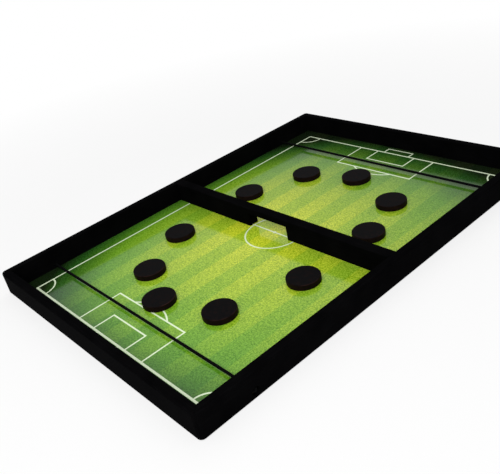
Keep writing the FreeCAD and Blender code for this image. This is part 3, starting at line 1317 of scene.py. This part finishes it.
@dataclass
class Fasteners:
    """The panel pins round the underside and the slotted screws under the divider."""

    pin_radius: float = 0.7 * MM
    pin_head_radius: float = 1.2 * MM
    pin_head: float = 0.5 * MM
    pin_margin: float = 35.0 * MM
    pins_per_side: int = 4
    pins_per_end: int = 3
    screw_radius: float = 1.5 * MM
    screw_head_radius: float = 2.8 * MM
    screw_head: float = 1.5 * MM
    screw_tip: float = 2.5 * MM
    screw_inner: float = 45.0 * MM
    slot_width: float = 0.8 * MM
    slot_depth: float = 0.6 * MM
    softening: float = 0.12 * MM
    seam: float = 0.004 * MM
    sharp_degrees: float = 35.0
    steps_round: int = 28

    def build(self) -> list[bpy.types.Object]:
        """Makes both groups.

        Returns:
            The pins and the screws.
        """
        steel = BrightSteel("drawn_steel").material()
        zinc = BrightSteel("zinc_plate", (0.62, 0.62, 0.60)).material()
        pins = self._placed(self._pin_jig(steel), "board_pins")
        screws = self._placed(self._screw_jig(zinc), "divider_screws")
        return [pins, screws]

    def _placed(self, jig: Jig, node: str) -> bpy.types.Object:
        """Makes a group of fasteners and lets it stand for its CAD node.

        Args:
            jig: the tree that makes the whole group.
            node: the CAD node's name.

        Returns:
            The group.
        """
        piece = jig.make(f"{node}_bright", {})
        shade_by_angle(piece, self.sharp_degrees)
        return stand_in(piece, node, BOARD)

    def _row(self, jig: Jig, start: bpy.types.NodeSocket, step: bpy.types.NodeSocket, count: int) -> Any:
        """A row of points.

        Args:
            jig: the tree.
            start: the first point.
            step: from each point to the next.
            count: the number of points.

        Returns:
            The points' socket.
        """
        values = {"Count": count, "Start Location": start, "Offset": step}
        return jig.node("GeometryNodeMeshLine", {"mode": "OFFSET"}, values).outputs[0]

    def _at_points(self, jig: Jig, rows: list[Any], one: bpy.types.NodeSocket) -> bpy.types.NodeSocket:
        """One fastener at every point of the rows."""
        points = jig.node("GeometryNodeJoinGeometry", values={0: rows}).outputs[0]
        return jig.node("GeometryNodeInstanceOnPoints", values={"Points": points, "Instance": one}).outputs[0]

    def _pin_jig(self, steel: bpy.types.Material) -> Jig:
        """The tree of the panel pins: a flat head and a pointed shank, along all four rails.

        Args:
            steel: the pins' material.

        Returns:
            The tree, with the pins' sizes and lines as inputs.
        """
        low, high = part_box("board_pins")
        sizes = {
            "Head Radius": self.pin_head_radius,
            "Radius": self.pin_radius,
            "Length": high.z - low.z,
            "Side Line": high.x - self.pin_head_radius,
            "End Line": high.y - self.pin_head_radius,
            "Side Reach": CAD_BOX[1].y - self.pin_margin,
            "End Reach": CAD_BOX[1].x - self.pin_margin,
        }
        jig = Jig("panel_pins", sizes)
        head, shank, length = jig.size("Head Radius"), jig.size("Radius"), jig.size("Length")
        profile = [
            (0.0, 0.0),
            (head - self.softening * 2, 0.0),
            (head - self.softening * 0.6, self.softening * 0.6),
            (head, self.softening * 2),
            (head, self.pin_head),
            (shank, self.pin_head),
            (shank, length - shank * 2.0),
            (shank * 0.3, length),
            (0.0, length),
        ]
        pin = jig.turned(profile, self.steps_round)
        rows = []
        for sign in (-1.0, 1.0):
            reach, line = jig.size("Side Reach"), jig.size("Side Line") * sign
            step = jig.joined(0.0, reach * (2.0 / (self.pins_per_side - 1)), 0.0)
            rows.append(self._row(jig, jig.joined(line, -reach, 0.0), step, self.pins_per_side))
            reach, line = jig.size("End Reach"), jig.size("End Line") * sign
            step = jig.joined(reach * (2.0 / (self.pins_per_end - 1)), 0.0, 0.0)
            rows.append(self._row(jig, jig.joined(-reach, line, 0.0), step, self.pins_per_end))
        jig.end(self._at_points(jig, rows, pin), steel)
        return jig

    def _screw_jig(self, zinc: bpy.types.Material) -> Jig:
        """The tree of the divider's screws: countersunk heads with a slot, two under each leg.

        Args:
            zinc: the screws' material.

        Returns:
            The tree, with the screws' sizes and places as inputs.
        """
        low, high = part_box("divider_screws")
        sizes = {
            "Head Radius": self.screw_head_radius,
            "Radius": self.screw_radius,
            "Length": high.z - low.z,
            "Inner": self.screw_inner,
            "Outer": high.x - self.screw_head_radius,
            "Slot Width": self.slot_width,
            "Slot Depth": self.slot_depth,
        }
        jig = Jig("slotted_screws", sizes)
        head, shank, length = jig.size("Head Radius"), jig.size("Radius"), jig.size("Length")
        profile = [
            (0.0, 0.0),
            (head - self.softening * 1.5, 0.0),
            (head - self.softening * 0.4, self.softening * 0.4),
            (shank, self.screw_head),
            (shank, length - self.screw_tip),
            (shank * 0.25, length),
            (0.0, length),
        ]
        whole = jig.turned(profile, self.steps_round)
        values = {"Geometry": whole, "Distance": self.seam}
        merged = jig.node("GeometryNodeMergeByDistance", values=values)
        size = jig.joined(jig.size("Head Radius") * 2.2, jig.size("Slot Width"), jig.size("Slot Depth") * 2.0)
        cutter = jig.node("GeometryNodeMeshCube", values={"Size": size})
        cut = {"Mesh 1": merged.outputs[0], "Mesh 2": cutter.outputs[0]}
        screw = jig.node("GeometryNodeMeshBoolean", {"operation": "DIFFERENCE", "solver": "EXACT"}, cut)
        inner, outer = jig.size("Inner"), jig.size("Outer")
        rows = []
        for sign in (-1.0, 1.0):
            start = jig.joined(outer * sign, 0.0, 0.0)
            step = jig.joined((inner - outer) * sign, 0.0, 0.0)
            rows.append(self._row(jig, start, step, 2))
        jig.end(self._at_points(jig, rows, screw.outputs[0]), zinc)
        return jig


@dataclass
class Studio:
    """A pale floor, soft light from above, and the camera over the near right corner."""

    eye: tuple[float, float, float] = (0.42685, -0.34346, 0.30869)
    turn: tuple[float, float, float, float] = (0.807775, 0.423921, 0.273681, 0.304777)
    lens: float = 47.17
    clip_start: float = 0.01
    floor_size: float = 8.0
    floor_drop: float = 0.3 * MM
    floor_colour: Colour = (0.90, 0.90, 0.90)
    floor_smudge: Colour = (0.80, 0.80, 0.80)
    floor_glow: float = 0.66
    floor_near: float = 0.30
    floor_far: float = 0.75
    ambient: float = 0.45
    dome_foot: float = 0.28
    dome_rise: float = 0.82
    dome_least: float = 0.4
    dome_most: float = 0.95
    key_place: tuple[float, float, float] = (0.62, -0.78, 1.25)
    key_size: float = 0.9
    key_watts: float = 16.0
    fill_place: tuple[float, float, float] = (-0.9, 0.7, 1.4)
    fill_size: float = 1.4
    fill_watts: float = 4.0

    def build(self) -> list[bpy.types.Object]:
        """Sets the stage.

        Returns:
            The floor.
        """
        self._camera()
        self._world()
        self._lamp("key", self.key_place, self.key_size, self.key_watts)
        self._lamp("fill", self.fill_place, self.fill_size, self.fill_watts)
        bpy.context.scene.view_settings.view_transform = "Standard"
        return [self._floor()]

    def _camera(self) -> None:
        """Makes the scene's camera."""
        camera = on_stage(bpy.data.objects.new("camera", bpy.data.cameras.new("camera")))
        camera.data.sensor_width = 36.0
        camera.data.lens = self.lens
        camera.data.clip_start = self.clip_start
        camera.rotation_mode = "QUATERNION"
        camera.location = self.eye
        camera.rotation_quaternion = Quaternion(self.turn)
        bpy.context.scene.camera = camera

    def _lamp(self, name: str, place: tuple[float, float, float], size: float, watts: float) -> None:
        """Makes a soft square lamp that points at the board.

        Args:
            name: its name.
            place: where it hangs.
            size: the length of its sides.
            watts: its power.
        """
        lamp = on_stage(bpy.data.objects.new(name, bpy.data.lights.new(name, "AREA")))
        lamp.data.shape = "SQUARE"
        lamp.data.size = size
        lamp.data.energy = watts
        lamp.visible_glossy = False
        lamp.location = place
        lamp.rotation_mode = "QUATERNION"
        lamp.rotation_quaternion = (-Vector(place)).to_track_quat("-Z", "Y")

    def _seen(self, bench: NodeBench) -> tuple[Signal, Signal]:
        """Which rays ask for a colour.

        Args:
            bench: the tree of a material or of the world.

        Returns:
            1 for what the camera sees directly, and 1 for what gloss or glass shows.
        """
        path = bench.node("ShaderNodeLightPath").outputs
        mirrored = Signal(bench, path["Is Glossy Ray"]) + Signal(bench, path["Is Transmission Ray"])
        return Signal(bench, path["Is Camera Ray"]), mirrored.clamped()

    def _world(self) -> None:
        """Makes the surroundings: white to the eye, and a pale dome, brighter overhead, in reflections."""
        world = bpy.data.worlds.new("studio")
        world.use_nodes = True
        bpy.context.scene.world = world
        bench = NodeBench(world.node_tree)
        bench.tree.nodes.clear()
        direct, mirrored = self._seen(bench)
        _, _, up = bench.split(bench.node("ShaderNodeTexCoord").outputs["Generated"])
        dome = (up * self.dome_rise + self.dome_foot).at_least(self.dome_least).at_most(self.dome_most)
        strength = direct + mirrored * dome + (1.0 - direct - mirrored) * self.ambient
        light = bench.node("ShaderNodeBackground", values={0: (1.0, 1.0, 1.0), 1: strength})
        bench.node("ShaderNodeOutputWorld", values={0: light.outputs[0]})

    def _floor(self) -> bpy.types.Object:
        """Makes the floor, a little below the board's underside.

        Returns:
            The floor.
        """
        half, level = self.floor_size / 2, CAD_BOX[0].z - self.floor_drop
        corners = [(-half, -half, level), (half, -half, level), (half, half, level), (-half, half, level)]
        mesh = bpy.data.meshes.new("floor")
        mesh.from_pydata(corners, [], [(0, 1, 2, 3)])
        floor = on_stage(bpy.data.objects.new("floor", mesh))
        dressing = Dressing("floor", Specular_IOR_Level=0.0, Roughness=0.9)
        tint = dressing.noise(6.0, detail=2.0) * 0.02
        material = dressing.dress(Base_Color=dressing.mixed(tint, self.floor_colour, self.floor_smudge))
        direct, mirrored = self._seen(dressing)
        white = dressing.node("ShaderNodeEmission", values={"Color": (1.0, 1.0, 1.0), "Strength": 1.0})
        x, y, _ = dressing.split(dressing.place())
        away = ((x.diagonal(y) - self.floor_near) / (self.floor_far - self.floor_near)).clamped()
        share = (direct + mirrored) * (away * (1.0 - self.floor_glow) + self.floor_glow)
        shaders = {0: share, 1: dressing.shader.outputs[0], 2: white.outputs[0]}
        seen = dressing.node("ShaderNodeMixShader", values=shaders)
        dressing.tree.links.new(seen.outputs[0], dressing.output.inputs["Surface"])
        give_material(floor, material)
        return floor


def main() -> None:
    """Builds the whole scene and reports each piece."""
    logging.basicConfig(level=logging.INFO, format="%(message)s")
    made = Studio().build()
    cover = WovenElastic().material()
    for end in End:
        made += Sling(end).build(cover)
    made += WoodenFrame().build() + Bed().build() + Pucks().build() + Fasteners().build()
    for piece in made:
        log.info("%s: %d faces", piece.name, len(piece.data.polygons))


if __name__ == "__main__":
    main()
